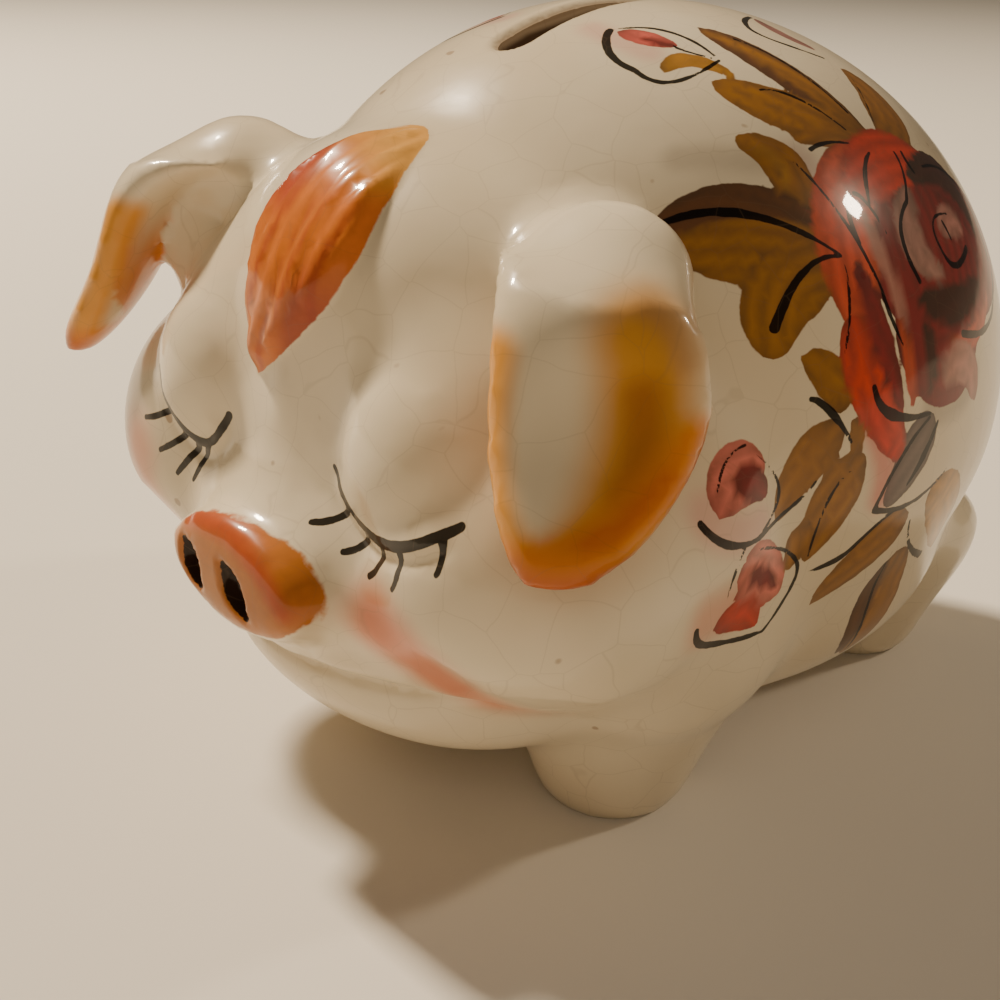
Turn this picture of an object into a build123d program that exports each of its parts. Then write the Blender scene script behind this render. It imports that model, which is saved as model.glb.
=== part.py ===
"""A hollow slip-cast piggy bank: a cast body with a coin slot, luted-on ears, snout, forelock, legs and
tail, and a rubber stopper in the belly. Millimetres, +Z up, the pig faces -Y, and its feet stand on z = 0.
The origin is on the floor, under the middle of the whole bank."""

import os

from build123d import *

# Driving dimensions. An egg is (half width, towards -Y, towards +Y, up, down) about its own centre.
TRUNK = ((0, -2.5, 48), (50, 51, 64.5, 53, 40))
BELLY = ((0, 3, 30), (46, 44, 50, 22, 25.5))
NAPE = ((0, -24, 62), (40, 20, 24, 29, 30))
HEAD = ((0, -32, 44), (49, 26.5, 30, 38, 30))
BROW = ((0, -35, 66), (34, 23, 26, 21, 30))
CHEEK = ((29, -42, 40), (21, 19.5, 22, 22, 17))
MUZZLE = ((0, -46, 35), (24, 19, 20, 14, 12))
JAW = ((0, -38, 23), (36, 22, 24, 12, 14))
EYELID = ((21.5, -45, 57), (14.5, 14, 13, 17, 13.5))
WALL = 4.5

SLOT_LENGTH, SLOT_WIDTH, SLOT_Y = 35.0, 4.6, -7.0

HOLE_Y, HOLE_RADIUS = 10.0, 13.5
SEAT_Z = 6.4  # flat recess round the belly hole, where the stopper's flange seats
FLANGE_RADIUS, FLANGE_THICK = 16.5, 2.2
PLUG_TOP, PLUG_RADIUS, RIB_RADIUS = 16.0, 13.2, 13.44
SEAT_GAP = 0.6
RIB_HEIGHTS, RIB_THICK = (1.6, 4.4), 1.0  # the ribs' undersides, above the flange
GRIP_RADIUS, GRIP_DEPTH = 9.5, 8.5  # the hollow under the stopper that fingers reach into
BAR_LENGTH, BAR_WIDTH, BAR_HEIGHT, BAR_LIFT = 19.5, 3.2, 5.0, 0.4

FOOT_RADIUS, HIP_RADIUS, LEG_HEIGHT = 10.5, 17.0, 26.0
FRONT_LEG, REAR_LEG = (23.5, -22.0), (17.5, 42.0)
FOOT_ROUND = 2.5

SNOUT_FRONT, SNOUT_Z = -67.5, 36.4
SNOUT_HALF_WIDTH, SNOUT_HALF_HEIGHT = 14.2, 7.6
SNOUT_ROOT, SNOUT_FLARE, SNOUT_RISE, SNOUT_ROUND = 20.0, 4.0, 2.0, 1.6
NOSTRIL_X, NOSTRIL_DEPTH = 5.4, 2.4
NOSTRIL_HALF_WIDTH, NOSTRIL_HALF_HEIGHT, NOSTRIL_LEAN = 2.1, 4.0, 12.0

# The ear's own eggs are (half width, towards the tip, towards the root, outward, inward).
EAR_OUTWARD, EAR_ROLL = (0.74, -0.52, 0.42), 6.0
EAR_LEAF = ((43.5, -50, 67.5), (10.5, 17, 15, 5, 13))
EAR_TIP = ((47.5, -55, 56), (6, 6, 7, 5, 7))
EAR_ROOT = ((36, -40, 77), (11, 8, 9, 8, 10))
EAR_SCOOP = (7.0, 11.0, 9.0, 1.5, 3.5)

FORELOCK_PROUD = 2.6
FORELOCK_TIP, FORELOCK_CROWN = (-2, 59), (7, 88)  # across, up
FORELOCK_LEFT, FORELOCK_RIGHT = (-15, 76), (8.5, 72)  # where its two curved edges are widest

TAIL_END, TAIL_Z, TAIL_TILT = 67.5, 56.0, 12.0
TAIL_RING, TAIL_THICK = 6.5, 3.4

LOW = (Align.CENTER, Align.CENTER, Align.MIN)


def egg(half_width, front, rear, top, bottom):
    """A closed egg about the origin, made of four quarter ellipsoids."""
    whole = None
    for depth, turn in ((front, 180), (rear, 0)):
        for height, low in ((top, 0), (bottom, -90)):
            quarter = Sphere(1, arc_size1=low, arc_size2=low + 90, arc_size3=180, align=(Align.NONE,) * 3)
            piece = Rot(0, 0, turn) * scale(quarter, by=(half_width, depth, height))
            whole = piece if whole is None else whole + piece
    return whole


def placed(shape, inset=0.0):
    """A named egg at its centre, smaller all round by inset."""
    centre, sizes = shape
    return Pos(*centre) * egg(*(size - inset for size in sizes))


def mirrored(shape):
    """The same shape on the pig's right-hand side."""
    return mirror(shape, about=Plane.YZ)


def body_form():
    """The outside of the trunk and head as one solid, before anything is luted on."""
    form = placed(TRUNK)
    for middle in (BELLY, NAPE, HEAD, BROW, MUZZLE, JAW):
        form += placed(middle)
    for side in (CHEEK, EYELID):
        form += placed(side) + mirrored(placed(side))
    return form


def coin_slot():
    """The round-ended cutter that goes down through the back's wall."""
    outline = SlotOverall(SLOT_LENGTH, SLOT_WIDTH, rotation=90)
    return Pos(0, SLOT_Y, TRUNK[0][2]) * extrude(outline, TRUNK[1][3] + 5)


def body_shell(outer):
    """The hollow casting with its coin slot, and the belly hole with a flat recess round it."""
    cheek = placed(CHEEK, WALL)
    cavity = placed(TRUNK, WALL) + placed(BELLY, WALL) + placed(HEAD, WALL) + cheek + mirrored(cheek)
    hole = Pos(0, HOLE_Y, 0) * Cylinder(HOLE_RADIUS, PLUG_TOP, align=LOW)
    seat = Pos(0, HOLE_Y, 0) * Cylinder(FLANGE_RADIUS + SEAT_GAP, SEAT_Z, align=LOW)
    return outer - cavity - coin_slot() - hole - seat


def leg(place, outer):
    """A short leg, cast solid, wider at the hip and rounded at the foot."""
    shape = Cone(FOOT_RADIUS, HIP_RADIUS, LEG_HEIGHT, align=LOW)
    shape = fillet(shape.edges().sort_by(Axis.Z)[0], FOOT_ROUND)
    return Pos(*place, 0) * shape - outer


def snout(outer):
    """The oval snout with two pressed nostrils."""
    front = Plane(origin=(0, SNOUT_FRONT, SNOUT_Z), x_dir=(1, 0, 0), z_dir=(0, -1, 0))
    root = front.offset(-SNOUT_ROOT)
    root_sizes = SNOUT_HALF_WIDTH + SNOUT_FLARE, SNOUT_HALF_HEIGHT + SNOUT_FLARE
    shape = loft(
        [
            front * Ellipse(SNOUT_HALF_WIDTH, SNOUT_HALF_HEIGHT),
            root * Pos(0, SNOUT_RISE) * Ellipse(*root_sizes),
        ]
    )
    shape = fillet(shape.edges().sort_by(Axis.Y)[0], SNOUT_ROUND)
    for side in (-1, 1):
        oval = Ellipse(NOSTRIL_HALF_WIDTH, NOSTRIL_HALF_HEIGHT, rotation=side * NOSTRIL_LEAN)
        nostril = Pos(side * NOSTRIL_X, 0) * oval
        shape -= extrude(front * nostril, amount=-NOSTRIL_DEPTH)
    return shape - outer


def ear(outer):
    """The left ear: a thick drooping leaf with a scooped face and a blunt tip."""
    outward = Vector(*EAR_OUTWARD).normalized()
    across = Vector(0, 0, 1).cross(outward).normalized()
    centre, leaf_sizes = EAR_LEAF
    tip_centre, tip_sizes = EAR_TIP
    leaf_frame = Plane(origin=centre, x_dir=across, z_dir=outward)
    tip_frame = Plane(origin=tip_centre, x_dir=across, z_dir=outward)
    roll = Rot(0, 0, EAR_ROLL)
    pad = leaf_frame * roll * egg(*leaf_sizes) + tip_frame * roll * egg(*tip_sizes) + placed(EAR_ROOT)
    scoop = leaf_frame * roll * Pos(0, -1, leaf_sizes[3] + 1) * egg(*EAR_SCOOP)
    return pad - scoop - outer


def forelock(outer):
    """The tuft between the ears: a leaf-shaped relief that follows the forehead."""
    left_edge = ThreePointArc(FORELOCK_TIP, FORELOCK_LEFT, FORELOCK_CROWN)
    right_edge = ThreePointArc(FORELOCK_CROWN, FORELOCK_RIGHT, FORELOCK_TIP)
    leaf = make_face([left_edge, right_edge])
    front = Plane(origin=(0, -80, 0), x_dir=(1, 0, 0), z_dir=(0, -1, 0))
    prism = extrude(front * leaf, amount=-70)
    raised = placed(BROW, -FORELOCK_PROUD) + placed(TRUNK, -FORELOCK_PROUD)
    return (raised & prism) - outer


def tail(outer):
    """The curled tail, a ring of clay laid on the rump."""
    middle = TAIL_END - TAIL_THICK - TAIL_RING * 0.21
    return Pos(0, middle, TAIL_Z) * Rot(90 - TAIL_TILT, 0, 0) * Torus(TAIL_RING, TAIL_THICK) - outer


def stopper():
    """The rubber stopper: a flange, a ribbed plug, and a bar to pull across the hollow."""
    bottom = SEAT_Z - FLANGE_THICK
    flange = Pos(0, 0, bottom) * Cylinder(FLANGE_RADIUS, FLANGE_THICK, align=LOW)
    flange = fillet(flange.edges().sort_by(Axis.Z)[0], 0.9)
    plug = Pos(0, 0, SEAT_Z) * Cylinder(PLUG_RADIUS, PLUG_TOP - SEAT_Z, align=LOW)
    plug = chamfer(plug.edges().sort_by(Axis.Z)[-1], 1.2)
    shape = flange + plug
    for height in RIB_HEIGHTS:
        shape += Pos(0, 0, SEAT_Z + height) * Cylinder(RIB_RADIUS, RIB_THICK, align=LOW)
    hollow = Pos(0, 0, bottom) * Cylinder(GRIP_RADIUS, GRIP_DEPTH, align=LOW)
    bar = Pos(0, 0, bottom + BAR_LIFT) * Box(BAR_LENGTH, BAR_WIDTH, BAR_HEIGHT, align=LOW)
    return Pos(0, HOLE_Y, 0) * (shape - hollow + bar)


def make_parts():
    """Every sub-part by its node's name."""
    outer = body_form()
    parts = {"body_shell": body_shell(outer), "snout": snout(outer), "forelock": forelock(outer)}
    parts["tail"] = tail(outer)
    parts["stopper"] = stopper()
    for place, foot in (("front", FRONT_LEG), ("rear", REAR_LEG)):
        left_leg = leg(foot, outer)
        parts[f"{place}_left_leg"] = left_leg
        parts[f"{place}_right_leg"] = mirrored(left_leg)
    left_ear = ear(outer)
    parts["left_ear"] = left_ear
    parts["right_ear"] = mirrored(left_ear)
    return parts


os.makedirs("parts", exist_ok=True)
for node, shape in make_parts().items():
    export_step(shape, f"parts/{node}.step")
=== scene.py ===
import math

import bmesh
import bpy
import numpy as np
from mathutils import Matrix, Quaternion, Vector
from mathutils.bvhtree import BVHTree
from mathutils.interpolate import poly_3d_calc


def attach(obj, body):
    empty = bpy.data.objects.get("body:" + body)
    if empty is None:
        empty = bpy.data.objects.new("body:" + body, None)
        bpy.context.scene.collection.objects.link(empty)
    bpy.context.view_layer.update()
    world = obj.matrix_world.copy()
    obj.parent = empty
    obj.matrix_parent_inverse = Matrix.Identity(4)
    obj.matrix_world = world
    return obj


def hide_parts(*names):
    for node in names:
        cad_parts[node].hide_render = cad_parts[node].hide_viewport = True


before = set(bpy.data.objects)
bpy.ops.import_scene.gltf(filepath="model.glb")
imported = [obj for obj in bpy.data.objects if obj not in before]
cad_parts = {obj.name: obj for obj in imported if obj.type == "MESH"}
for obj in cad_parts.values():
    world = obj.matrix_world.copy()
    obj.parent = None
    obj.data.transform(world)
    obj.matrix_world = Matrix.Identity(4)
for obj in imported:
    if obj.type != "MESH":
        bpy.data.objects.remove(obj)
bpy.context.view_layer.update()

# Body casting. The real one is slip poured in a plaster mould: a round trunk whose head, cheeks and jowls
# swell out of it with no edge between them. Each swelling is laid on as an egg of clay, and all are then
# worked into one skin. An egg is (centre), (half width, towards -Y, towards +Y, up, down), in millimetres.

MM = 0.001


def clear_selection():
    """Leaves object mode's selection empty, so that an operator acts only on what is made next."""
    if bpy.context.object and bpy.context.object.mode != "OBJECT":
        bpy.ops.object.mode_set(mode="OBJECT")
    bpy.ops.object.select_all(action="DESELECT")


def take(*things):
    """Selects these objects and makes the first one active."""
    clear_selection()
    for thing in things:
        thing.select_set(True)
    bpy.context.view_layer.objects.active = things[0]


def pick(clay, test):
    """In edit mode, selects the vertices that pass the test."""
    bm = bmesh.from_edit_mesh(clay.data)
    bpy.ops.mesh.select_all(action="DESELECT")
    bm.select_mode = {"VERT"}
    for vert in bm.verts:
        vert.select = test(vert.co)
    bm.select_flush_mode()
    bmesh.update_edit_mesh(clay.data)


def egg(name, centre, sizes, fine=48):
    """A ball of clay pulled out by its own amount to each side, in front, behind, above and below."""
    half_width, front, rear, top, bottom = sizes
    clear_selection()
    bpy.ops.mesh.primitive_uv_sphere_add(segments=fine, ring_count=fine // 2, radius=MM, location=(0, 0, 0))
    ball = bpy.context.object
    ball.name = name
    bpy.ops.object.mode_set(mode="EDIT")
    bpy.ops.mesh.select_all(action="SELECT")
    bpy.ops.transform.resize(value=(half_width, 1, 1), center_override=(0, 0, 0))
    pulls = (
        (lambda co: co.y < -1e-7, (1, front, 1)),
        (lambda co: co.y > 1e-7, (1, rear, 1)),
        (lambda co: co.z > 1e-7, (1, 1, top)),
        (lambda co: co.z < -1e-7, (1, 1, bottom)),
    )
    for test, value in pulls:
        pick(ball, test)
        bpy.ops.transform.resize(value=value, center_override=(0, 0, 0))
    bpy.ops.object.mode_set(mode="OBJECT")
    ball.location = Vector(centre) * MM
    bpy.ops.object.transform_apply(location=True, rotation=True, scale=True)
    return ball


def duplicate(lumps):
    """Copies of these lumps, to be worked on their own."""
    take(*lumps)
    bpy.ops.object.duplicate()
    return list(bpy.context.selected_objects)


def mirrored(left, name):
    """The same lump on the pig's right."""
    right = duplicate([left])[0]
    right.name = name
    bpy.ops.object.mode_set(mode="EDIT")
    bpy.ops.mesh.select_all(action="SELECT")
    bpy.ops.transform.resize(value=(-1, 1, 1), center_override=(0, 0, 0))
    bpy.ops.mesh.flip_normals()
    bpy.ops.object.mode_set(mode="OBJECT")
    return right


def pair(name, centre, sizes):
    """The same egg on the pig's left and right."""
    left = egg(name + "_left", centre, sizes)
    return [left, mirrored(left, name + "_right")]


def work_together(lumps, voxel, rounds):
    """Lumps of clay pressed into one skin, and the joins smoothed over with a damp finger."""
    take(*lumps)
    bpy.ops.object.join()
    clay = bpy.context.object
    remesh = clay.modifiers.new("press", "REMESH")
    remesh.mode = "VOXEL"
    remesh.voxel_size = voxel * MM
    bpy.ops.object.modifier_apply(modifier=remesh.name)
    smooth = clay.modifiers.new("finger", "SMOOTH")
    smooth.factor = 0.5
    smooth.iterations = rounds
    bpy.ops.object.modifier_apply(modifier=smooth.name)
    return clay


shell_lumps = [
    egg("trunk", (0, -2.5, 48), (50.4, 51.4, 64.9, 53.4, 40.4), fine=96),
    egg("belly", (0, 3, 30), (46, 44, 50, 22, 25.5), fine=64),
    egg("nape", (0, -24, 62), (40, 20, 24, 29, 30)),
    egg("head", (0, -32, 44), (49.8, 27, 30, 38, 30.5), fine=64),
    egg("brow", (0, -35, 66), (34, 22.5, 26, 21.5, 30)),
    *pair("cheek", (29, -42, 41), (21.5, 20, 22, 22.5, 16)),
    *pair("shoulder", (33, -24, 34), (15, 20, 20, 24, 20)),
    *pair("socket", (21, -44, 58), (16, 13, 13, 16, 14)),
    egg("muzzle", (0, -46, 37), (27, 19, 20, 14, 12)),
    *pair("lip", (17, -46, 35), (14, 15.5, 14, 12, 10)),
    egg("bridge", (0, -48, 55), (11, 11.5, 10, 15, 12)),
    egg("jaw", (0, -38, 23), (34, 21.5, 24, 11, 14)),
]


# Legs. Four short legs pressed solid in the mould, wide where they swell out of the belly and round-footed.
# Each is thrown up from its foot in rings, like the ear and snout below.


def rings(name, middle_at, across, upward, rows, around=32, smooth=2):
    """A lump raised in rings: each row is its height, its middle across and out, and its two half widths."""
    outward = across.cross(upward)
    clear_selection()
    bpy.ops.mesh.primitive_circle_add(vertices=around, radius=1, fill_type="NGON", location=(0, 0, 0))
    lump = bpy.context.object
    lump.name = name
    bpy.ops.object.mode_set(mode="EDIT")
    bm = bmesh.from_edit_mesh(lump.data)
    unit = [vert.co.copy() for vert in bm.verts]
    for index, (height, shift, half_width, out, half_thick) in enumerate(rows):
        if index:
            bpy.ops.mesh.extrude_region_move()
            bm = bmesh.from_edit_mesh(lump.data)
        ring = [vert for vert in bm.verts if vert.select]
        middle = middle_at + across * shift + upward * height + outward * out
        for vert, place in zip(ring, unit):
            vert.co = (middle + across * place.x * half_width + outward * place.y * half_thick) * MM
        bmesh.update_edit_mesh(lump.data)
    bpy.ops.mesh.select_all(action="SELECT")
    bpy.ops.mesh.normals_make_consistent(inside=False)
    bpy.ops.object.mode_set(mode="OBJECT")
    if smooth:
        rounded = lump.modifiers.new("round", "SUBSURF")
        rounded.levels = rounded.render_levels = smooth
        bpy.ops.object.modifier_apply(modifier=rounded.name)
    return lump


X, Y, Z = Vector((1, 0, 0)), Vector((0, 1, 0)), Vector((0, 0, 1))
FRONT_FOOT, REAR_FOOT = Vector((23.5, -22, 0)), Vector((17.5, 42, 0))
FRONT_ROWS = (
    (-3, 0, 9.5, 0, 9.5),
    (2, 0, 11, 0, 11),
    (8, 0.5, 12.6, 0, 12.6),
    (15, 1.5, 14.5, 0, 15),
    (23, 3, 17, 0, 18),
    (32, 3, 17, 0, 18),
)
REAR_ROWS = (
    (-3, 0, 9, 0, 9),
    (2, 0, 10.5, 0, 10.5),
    (8, 0.5, 12, 0.5, 12),
    (15, 1.5, 15, 1, 15),
    (23, 2, 18, 2, 17),
    (30, 2, 18, 2, 17),
)
legs = []
for leg_name, foot, rows in (("front", FRONT_FOOT, FRONT_ROWS), ("rear", REAR_FOOT, REAR_ROWS)):
    left_leg = rings(f"{leg_name}_leg_left", foot, X, Z, rows)
    legs += [left_leg, mirrored(left_leg, f"{leg_name}_leg_right")]

hull_lumps = duplicate(shell_lumps)
skin = work_together(shell_lumps + duplicate(legs), 1.2, 60)

# Ears. Each is a thick leaf of clay that leaves the head sideways, bends over and hangs beside the eye, with
# its blunt tip flared out. It is pulled up from its tip in rings, and luted on at its root.

EAR_TIP = Vector((47, -59.6, 52.4))
EAR_BACK = Vector((0.64, 0.77, 0.0)).normalized()
EAR_UP = Vector((-0.16, 0.13, 0.98)).normalized()
EAR_ROWS = (
    (-1.8, 1.0, 2.2, 2.0, 1.2),
    (-0.4, 1.8, 4.6, 1.6, 2.4),
    (2.5, 3.0, 7.2, 0.6, 3.3),
    (6.5, 4.2, 9.4, -0.8, 3.7),
    (11, 5.2, 10.9, -2.2, 3.8),
    (16, 5.7, 11.5, -3.0, 3.9),
    (21, 6.0, 11.6, -3.6, 4.2),
    (25, 6.0, 11.2, -5.0, 4.8),
    (28.5, 5.6, 10.4, -8.2, 5.6),
    (30.5, 5.2, 9.8, -13.0, 6.5),
    (31, 5.2, 9.4, -19.0, 7.5),
)
left_ear = rings("ear_left", EAR_TIP, EAR_BACK, EAR_UP, EAR_ROWS)
ears = [left_ear, mirrored(left_ear, "ear_right")]
ear_roots = pair("ear_root", (35, -40, 77), (11, 8.5, 9, 8.3, 10))
ear_webs = pair("ear_web", (38, -42, 67), (8, 8, 10, 12, 12))
lids = pair("lid", (20.8, -45.6, 53.2), (15.6, 15.4, 12, 16, 13.8))

# Snout. A short oval stub of clay with a flat end, pressed on below the eyes and smoothed into the muzzle.
# Its nostrils are pushed in later, with the other tooling.

SNOUT_ROWS = (
    (0.0, 0, 13.0, 0.0, 6.0),
    (1.0, 0, 14.0, 0.0, 6.9),
    (4.0, 0, 14.4, 0.2, 7.6),
    (8.0, 0, 15.2, 1.0, 9.0),
    (13, 0, 17.5, 1.6, 11.5),
    (20, 0, 20.0, 2.0, 13.0),
)
snout = rings("snout", Vector((0, -67.7, 36.0)), -X, Y, SNOUT_ROWS)

# Tail. A rope of clay rolled between the hands, thinner towards its end, curled once and laid flat on the
# rump, where it is luted down all the way round.

TAIL_MIDDLE, TAIL_TILT = Vector((0, 62.6, 56)), 78
CURL_RADIUS, ROPE_RADIUS, CURL_TAPER, ROPE_TAPER = 6.4, 3, 0.12, 0.13
clear_selection()
bpy.ops.mesh.primitive_torus_add(
    major_radius=CURL_RADIUS * MM, minor_radius=ROPE_RADIUS * MM, major_segments=48, minor_segments=20
)
tail = bpy.context.object
tail.name = "tail"
bpy.ops.object.mode_set(mode="EDIT")
curl = bmesh.from_edit_mesh(tail.data)
for vert in curl.verts:
    round_the_curl = math.atan2(vert.co.y, vert.co.x)
    rope_middle = Vector((math.cos(round_the_curl), math.sin(round_the_curl), 0)) * CURL_RADIUS * MM
    thickness = 1 - ROPE_TAPER * round_the_curl / math.pi
    vert.co = rope_middle * (1 - CURL_TAPER * round_the_curl / math.pi) + (vert.co - rope_middle) * thickness
bmesh.update_edit_mesh(tail.data)
bpy.ops.object.mode_set(mode="OBJECT")
tail.rotation_euler = (math.radians(TAIL_TILT), 0, 0)
tail.location = TAIL_MIDDLE * MM
bpy.ops.object.transform_apply(location=True, rotation=True, scale=True)

# Joining. The trimmings are luted on and the whole is worked over, so that nothing shows where one ends. The
# lumps are first remembered one by one, because the fired pieces are told apart by them at the end.


def form_tree(lumps):
    """A quick way to ask how near a place is to these lumps; the lumps themselves are used up."""
    take(*lumps)
    if len(lumps) > 1:
        bpy.ops.object.join()
    lump = bpy.context.object
    form = bmesh.new()
    form.from_mesh(lump.data)
    tree = BVHTree.FromBMesh(form)
    form.free()
    bpy.data.objects.remove(lump)
    return tree


ear_left_copy, ear_right_copy = duplicate([ears[0], ear_roots[0]]), duplicate([ears[1], ear_roots[1]])
forms = {
    "left_ear": form_tree(ear_left_copy),
    "right_ear": form_tree(ear_right_copy),
    "snout": form_tree(duplicate([snout])),
    "tail": form_tree(duplicate([tail])),
}
for node, lump in zip(("front_left_leg", "front_right_leg", "rear_left_leg", "rear_right_leg"), legs):
    forms[node] = form_tree([lump])
hull = work_together(hull_lumps + duplicate(lids + ear_webs), 1.6, 20)
forms["body_shell"] = form_tree([hull])

skin = work_together([skin, *ears, *ear_roots, *ear_webs, *lids, snout, tail], 1.3, 5)
skin.name = "skin"


def smooth_near(places, reach, rounds):
    """Goes over a join again with a damp finger, where it is near these places."""
    take(skin)
    bpy.ops.object.mode_set(mode="EDIT")
    spots = [Vector(place) * MM for place in places]
    pick(skin, lambda co: any((Vector((abs(co.x), co.y, co.z)) - spot).length < reach * MM for spot in spots))
    bpy.ops.mesh.vertices_smooth(factor=0.5, repeat=rounds)
    bpy.ops.object.mode_set(mode="OBJECT")


EAR_JOIN = ((36, -38, 82), (30, -38, 80), (42, -42, 82), (47, -36, 78), (48, -36, 70), (40, -46, 82))
LID_TOP = ((22, -54, 70), (12, -56, 66), (31, -52, 66), (8, -58, 58))
SNOUT_JOIN = ((0, -60, 48), (12, -58, 44), (17, -56, 38), (18, -56, 32), (12, -58, 28), (0, -60, 27))
JOWL = ((30, -55, 30), (38, -50, 28), (44, -42, 26), (46, -34, 28))
smooth_near(EAR_JOIN, reach=9, rounds=40)
smooth_near(LID_TOP, reach=7, rounds=24)
smooth_near(SNOUT_JOIN, reach=5, rounds=20)
smooth_near(JOWL, reach=8, rounds=40)
take(skin)
bpy.ops.object.mode_set(mode="EDIT")
bpy.ops.mesh.select_all(action="SELECT")
bpy.ops.mesh.bisect(plane_co=(0, 0, 0), plane_no=(0, 0, 1), use_fill=True, clear_inner=True)
bpy.ops.object.mode_set(mode="OBJECT")

# Tooling. While the clay is soft the forelock is raised and combed, the lids and the mouth are pressed in
# with a rounded tool, the nostrils are pushed in, the ears are dished, and the slot's lips are wiped round.

SLOT_LENGTH, SLOT_WIDTH, SLOT_Y = 35, 4.6, -7
FORELOCK = ((-6, 58.5), (-1, 73), (4, 87))  # tip, middle, crown: across, up
FORELOCK_BREADTH = 19
NOSTRILS = (((0.2, 37.4), (2.2, 35), (4.4, 32.6)), ((-9, 37.4), (-7.6, 35.2), (-6, 33)))
NOSTRIL_BREADTH = 4.6
MOUTH = ((0, 23.5), (18, 25), (35, 28))  # across either way, up
FORELOCK_PROUD, COMB_DEPTH, NOSTRIL_DEPTH, MOUTH_DEPTH, LIP_PROUD = 1.9, 0.28, 1.9, 0.95, 0.6
LID_PROUD, LID_DEPTH, SLOT_WIPE, EAR_DISH = 0.4, 0.25, 1.0, 1.1
LID_LINES = {1: ((10.5, 51), (21, 46.2), (33.5, 51.5)), -1: ((12, 51), (18, 46.2), (26.5, 54))}


def bow(start, middle, end, steps=24):
    """Places along the smooth curve that runs from start through middle to end."""
    start, middle, end = (np.array(place, dtype=float) for place in (start, middle, end))
    pull = 2 * middle - (start + end) / 2
    along = np.linspace(0, 1, steps)[:, None]
    return (1 - along) ** 2 * start + 2 * along * (1 - along) * pull + along**2 * end


def mark(flat, curve, reach=9.0):
    """For each flat place, how far it is from a curve, how far along it lies (0 to 1), and on which side."""
    line = bow(*curve)
    away = np.full(len(flat), 99.0)
    along = np.zeros(len(flat))
    side = np.zeros(len(flat))
    low, high = line.min(axis=0) - reach, line.max(axis=0) + reach
    close = np.nonzero(((flat > low) & (flat < high)).all(axis=1))[0]
    places = flat[close]
    best = np.full(len(close), 99.0)
    for index in range(len(line) - 1):
        run = line[index + 1] - line[index]
        offset = places - line[index]
        share = np.clip((offset @ run) / (run @ run), 0, 1)
        gap = offset - share[:, None] * run
        distance = np.hypot(gap[:, 0], gap[:, 1])
        nearer = distance < best
        best[nearer] = distance[nearer]
        along[close[nearer]] = (index + share[nearer]) / (len(line) - 1)
        side[close[nearer]] = np.sign(run[0] * offset[nearer, 1] - run[1] * offset[nearer, 0])
    away[close] = best
    return away, along, side


def full_brush(along):
    """How wide a pressed brush mark is along its length: round at both ends."""
    return np.sqrt(np.clip(np.sin(np.pi * np.clip(along, 0, 1) ** 0.9), 0, 1))


def ease(value, start, stop):
    """0 before start, 1 after stop, and a smooth rise between; start may be the larger."""
    share = np.clip((value - start) / (stop - start), 0, 1)
    return share * share * (3 - 2 * share)


def places_of(thing):
    """The thing's vertices as millimetres."""
    flat = np.empty(len(thing.data.vertices) * 3)
    thing.data.vertices.foreach_get("co", flat)
    return flat.reshape(-1, 3) / MM


def slot_gap(co):
    """How far outside the coin slot's outline a place on the back lies."""
    straight = SLOT_LENGTH / 2 - SLOT_WIDTH / 2
    past_end = np.maximum(np.abs(co[:, 1] - SLOT_Y) - straight, 0)
    return np.where(co[:, 2] > 80, np.hypot(co[:, 0], past_end) - SLOT_WIDTH / 2, 99)


def lid_gap(co, sign):
    """How far a place on the face is from one eye's lid line, how far along, and on which side."""
    faces_front = (co[:, 1] < -38) & (co[:, 0] * sign > 0)
    flat = np.where(faces_front[:, None], np.stack([co[:, 0] * sign, co[:, 2]], axis=1), 999)
    return mark(flat, LID_LINES[sign])


def forelock_gap(co):
    """How far outside the forelock's outline a place on the forehead lies, then along and side."""
    on_forehead = (co[:, 2] > 54) & (co[:, 1] < -10)
    flat = np.where(on_forehead[:, None], co[:, ::2], 999)
    away, along, side = mark(flat, FORELOCK, reach=14)
    leaf = np.sqrt(np.clip(np.sin(np.pi * along**1.6), 0, 1))
    return away - FORELOCK_BREADTH / 2 * leaf, along, side * away


def nostril_gap(co):
    """How far outside the nearer nostril's outline a place on the snout's end lies."""
    flat = np.where((co[:, 1] < -63)[:, None], co[:, ::2], 999)
    gaps = []
    for nostril in NOSTRILS:
        away, along, side = mark(flat, nostril)
        gaps.append(away - NOSTRIL_BREADTH / 2 * full_brush(along * 0.9 + 0.05))
    return np.minimum(*gaps)


def ellipse_gap(flat, centre, halves):
    """Roughly how far a flat place is outside an ellipse."""
    scaled = (flat - np.array(centre)) / np.array(halves)
    return (np.hypot(scaled[:, 0], scaled[:, 1]) - 1) * min(halves)


def snout_gap(co):
    """How far outside the snout's painted oval a place lies, and the place as seen from the front."""
    flat = np.where(((co[:, 1] < -58) & (co[:, 2] > 20))[:, None], co[:, ::2], 999)
    return ellipse_gap(flat, (1, 36.6), (13.6, 6.6)), flat


def mouth_gap(co):
    """How far a place on the muzzle is from the mouth line, how far along, and on which side."""
    flat = np.stack([np.abs(co[:, 0]), co[:, 2]], axis=1)
    return mark(np.where((co[:, 1] < -30)[:, None], flat, 999), MOUTH)


def refine(thing, wanted):
    """Cuts every face whose corners touch the wanted places into four."""
    take(thing)
    bpy.ops.object.mode_set(mode="EDIT")
    bpy.ops.mesh.select_all(action="SELECT")
    bpy.ops.mesh.quads_convert_to_tris()
    bpy.ops.mesh.select_all(action="DESELECT")
    clay = bmesh.from_edit_mesh(thing.data)
    for face in clay.faces:
        face.select = any(wanted[vert.index] for vert in face.verts)
    clay.select_flush_mode()
    bmesh.update_edit_mesh(thing.data)
    bpy.ops.mesh.subdivide(number_cuts=1, smoothness=0)
    bpy.ops.object.mode_set(mode="OBJECT")


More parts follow.
